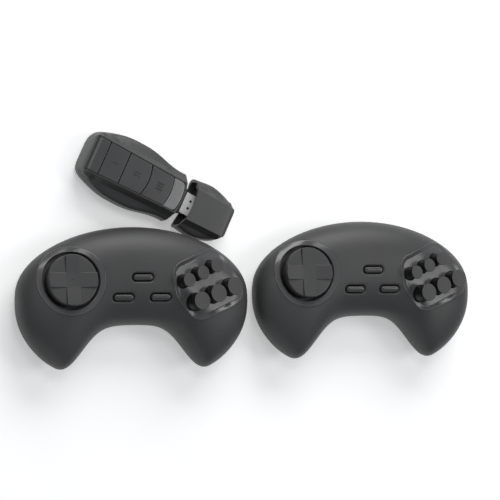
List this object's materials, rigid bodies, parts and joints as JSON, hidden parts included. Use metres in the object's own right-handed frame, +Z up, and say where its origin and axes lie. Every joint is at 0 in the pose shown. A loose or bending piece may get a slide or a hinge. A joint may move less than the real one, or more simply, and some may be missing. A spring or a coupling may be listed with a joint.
{
  "type": "game console with controllers",
  "caption": "Stick game console with a pull-off cap over its video plug, and wireless controllers with a tilting direction pad, sprung buttons and sliding battery doors.",
  "frame": {"origin": "centre of the flat underside of the console's body, on the table", "axes": "+X to the right across both controllers, +Y away from the player, +Z up from the table"},
  "size_m": [0.306, 0.1432, 0.04],
  "materials": {
    "pad_case": "fine matte moulded texture",
    "pad_bezel": "satin gloss",
    "pad_cross": "matte",
    "pad_button": "matte top, dark sides",
    "pad_menu": "matte",
    "pivot_metal": "plain",
    "rubber_sheet": "plain",
    "board": "solder mask",
    "cell": null,
    "contact": "plated",
    "screw": "plated",
    "console_case": "fine matte moulded texture",
    "console_key": "satin",
    "window": "gloss, smoked",
    "plug_metal": "bright, lightly gilded",
    "plug_plastic": "matte black"
  },
  "bodies": {
    "console": {"console_bottom": "console_case", "console_top": "console_case", "badge_panel": "console_key", "key_mat": "rubber_sheet", "signal_window": "window", "console_board": "board", "console_screws": "screw", "plug_mold": "plug_plastic", "plug_shell": "plug_metal", "plug_tongue": "plug_plastic"},
    "cap": {"cap_shell": "console_case", "cap_liner": "plug_plastic"},
    "key_1_body": {"key_1": "console_key"},
    "key_2_body": {"key_2": "console_key"},
    "key_3_body": {"key_3": "console_key"},
    "left_pad": {"left_top_shell": "pad_case", "left_bottom_shell": "pad_case", "left_dpad_bezel": "pad_bezel", "left_action_bezel": "pad_bezel", "left_dpad_membrane": "rubber_sheet", "left_action_membrane": "rubber_sheet", "left_circuit_boards": "board", "left_battery_cells": "cell", "left_battery_contacts": "contact", "left_case_screws": "screw"},
    "left_rocker": {"left_dpad_pivot": "pivot_metal"},
    "left_dpad_body": {"left_dpad": "pad_cross"},
    "left_button_1_body": {"left_button_1": "pad_button"},
    "left_button_2_body": {"left_button_2": "pad_button"},
    "left_button_3_body": {"left_button_3": "pad_button"},
    "left_button_4_body": {"left_button_4": "pad_button"},
    "left_button_5_body": {"left_button_5": "pad_button"},
    "left_button_6_body": {"left_button_6": "pad_button"},
    "left_menu_1_body": {"left_menu_button_1": "pad_menu"},
    "left_menu_2_body": {"left_menu_button_2": "pad_menu"},
    "left_menu_3_body": {"left_menu_button_3": "pad_menu"},
    "left_door": {"left_battery_door": "pad_case"},
    "right_pad": {"right_top_shell": "pad_case", "right_bottom_shell": "pad_case", "right_dpad_bezel": "pad_bezel", "right_action_bezel": "pad_bezel", "right_dpad_membrane": "rubber_sheet", "right_action_membrane": "rubber_sheet", "right_circuit_boards": "board", "right_battery_cells": "cell", "right_battery_contacts": "contact", "right_case_screws": "screw"},
    "right_rocker": {"right_dpad_pivot": "pivot_metal"},
    "right_dpad_body": {"right_dpad": "pad_cross"},
    "right_button_1_body": {"right_button_1": "pad_button"},
    "right_button_2_body": {"right_button_2": "pad_button"},
    "right_button_3_body": {"right_button_3": "pad_button"},
    "right_button_4_body": {"right_button_4": "pad_button"},
    "right_button_5_body": {"right_button_5": "pad_button"},
    "right_button_6_body": {"right_button_6": "pad_button"},
    "right_menu_1_body": {"right_menu_button_1": "pad_menu"},
    "right_menu_2_body": {"right_menu_button_2": "pad_menu"},
    "right_menu_3_body": {"right_menu_button_3": "pad_menu"},
    "right_door": {"right_battery_door": "pad_case"}
  },
  "joints": [
    {"name": "cap_slide", "type": "slide", "parent": "console", "child": "cap", "axis": [0.9033, -0.4289, 0], "range_m": [-0.008, 0.03]},
    {"name": "key_1_press", "type": "slide", "parent": "console", "child": "key_1_body", "axis": [0, 0, 1], "range_m": [-0.0005, 0], "stiffness_N_per_m": 900},
    {"name": "key_2_press", "type": "slide", "parent": "console", "child": "key_2_body", "axis": [0, 0, 1], "range_m": [-0.0005, 0], "stiffness_N_per_m": 900},
    {"name": "key_3_press", "type": "slide", "parent": "console", "child": "key_3_body", "axis": [0, 0, 1], "range_m": [-0.0005, 0], "stiffness_N_per_m": 900},
    {"name": "left_pad_lift", "type": "slide", "parent": "console", "child": "left_pad", "axis": [0, 0, 1], "range_m": [0, 0.15]},
    {"name": "left_dpad_up_down", "type": "hinge", "parent": "left_pad", "child": "left_rocker", "pos_m": [-0.04623, -0.06417, 0.02537], "axis": [0.9994, 0, 0.0349], "range_deg": [-5, 5], "stiffness_Nm_per_rad": 0.3},
    {"name": "left_dpad_left_right", "type": "hinge", "parent": "left_rocker", "child": "left_dpad_body", "pos_m": [-0.04623, -0.06417, 0.02537], "axis": [0.0049, 0.9903, -0.1391], "range_deg": [-5, 5], "stiffness_Nm_per_rad": 0.3},
    {"name": "left_button_1_press", "type": "slide", "parent": "left_pad", "child": "left_button_1_body", "axis": [0.121, 0.1219, 0.9851], "range_m": [-0.0015, 0], "stiffness_N_per_m": 400},
    {"name": "left_button_2_press", "type": "slide", "parent": "left_pad", "child": "left_button_2_body", "axis": [0.121, 0.1219, 0.9851], "range_m": [-0.0015, 0], "stiffness_N_per_m": 400},
    {"name": "left_button_3_press", "type": "slide", "parent": "left_pad", "child": "left_button_3_body", "axis": [0.121, 0.1219, 0.9851], "range_m": [-0.0015, 0], "stiffness_N_per_m": 400},
    {"name": "left_button_4_press", "type": "slide", "parent": "left_pad", "child": "left_button_4_body", "axis": [0.121, 0.1219, 0.9851], "range_m": [-0.0015, 0], "stiffness_N_per_m": 400},
    {"name": "left_button_5_press", "type": "slide", "parent": "left_pad", "child": "left_button_5_body", "axis": [0.121, 0.1219, 0.9851], "range_m": [-0.0015, 0], "stiffness_N_per_m": 400},
    {"name": "left_button_6_press", "type": "slide", "parent": "left_pad", "child": "left_button_6_body", "axis": [0.121, 0.1219, 0.9851], "range_m": [-0.0015, 0], "stiffness_N_per_m": 400},
    {"name": "left_menu_1_press", "type": "slide", "parent": "left_pad", "child": "left_menu_1_body", "axis": [0, 0, 1], "range_m": [-0.0008, 0], "stiffness_N_per_m": 500},
    {"name": "left_menu_2_press", "type": "slide", "parent": "left_pad", "child": "left_menu_2_body", "axis": [0, -0.1392, 0.9903], "range_m": [-0.0008, 0], "stiffness_N_per_m": 500},
    {"name": "left_menu_3_press", "type": "slide", "parent": "left_pad", "child": "left_menu_3_body", "axis": [0, -0.1392, 0.9903], "range_m": [-0.0008, 0], "stiffness_N_per_m": 500},
    {"name": "left_door_slide", "type": "slide", "parent": "left_pad", "child": "left_door", "axis": [0, 1, 0], "range_m": [0, 0.02]},
    {"name": "right_pad_lift", "type": "slide", "parent": "console", "child": "right_pad", "axis": [0, 0, 1], "range_m": [0, 0.15]},
    {"name": "right_dpad_up_down", "type": "hinge", "parent": "right_pad", "child": "right_rocker", "pos_m": [0.10977, -0.06017, 0.02537], "axis": [0.9994, 0, 0.0349], "range_deg": [-5, 5], "stiffness_Nm_per_rad": 0.3},
    {"name": "right_dpad_left_right", "type": "hinge", "parent": "right_rocker", "child": "right_dpad_body", "pos_m": [0.10977, -0.06017, 0.02537], "axis": [0.0049, 0.9903, -0.1391], "range_deg": [-5, 5], "stiffness_Nm_per_rad": 0.3},
    {"name": "right_button_1_press", "type": "slide", "parent": "right_pad", "child": "right_button_1_body", "axis": [0.121, 0.1219, 0.9851], "range_m": [-0.0015, 0], "stiffness_N_per_m": 400},
    {"name": "right_button_2_press", "type": "slide", "parent": "right_pad", "child": "right_button_2_body", "axis": [0.121, 0.1219, 0.9851], "range_m": [-0.0015, 0], "stiffness_N_per_m": 400},
    {"name": "right_button_3_press", "type": "slide", "parent": "right_pad", "child": "right_button_3_body", "axis": [0.121, 0.1219, 0.9851], "range_m": [-0.0015, 0], "stiffness_N_per_m": 400},
    {"name": "right_button_4_press", "type": "slide", "parent": "right_pad", "child": "right_button_4_body", "axis": [0.121, 0.1219, 0.9851], "range_m": [-0.0015, 0], "stiffness_N_per_m": 400},
    {"name": "right_button_5_press", "type": "slide", "parent": "right_pad", "child": "right_button_5_body", "axis": [0.121, 0.1219, 0.9851], "range_m": [-0.0015, 0], "stiffness_N_per_m": 400},
    {"name": "right_button_6_press", "type": "slide", "parent": "right_pad", "child": "right_button_6_body", "axis": [0.121, 0.1219, 0.9851], "range_m": [-0.0015, 0], "stiffness_N_per_m": 400},
    {"name": "right_menu_1_press", "type": "slide", "parent": "right_pad", "child": "right_menu_1_body", "axis": [0, 0, 1], "range_m": [-0.0008, 0], "stiffness_N_per_m": 500},
    {"name": "right_menu_2_press", "type": "slide", "parent": "right_pad", "child": "right_menu_2_body", "axis": [0, -0.1392, 0.9903], "range_m": [-0.0008, 0], "stiffness_N_per_m": 500},
    {"name": "right_menu_3_press", "type": "slide", "parent": "right_pad", "child": "right_menu_3_body", "axis": [0, -0.1392, 0.9903], "range_m": [-0.0008, 0], "stiffness_N_per_m": 500},
    {"name": "right_door_slide", "type": "slide", "parent": "right_pad", "child": "right_door", "axis": [0, 1, 0], "range_m": [0, 0.02]}
  ]
}
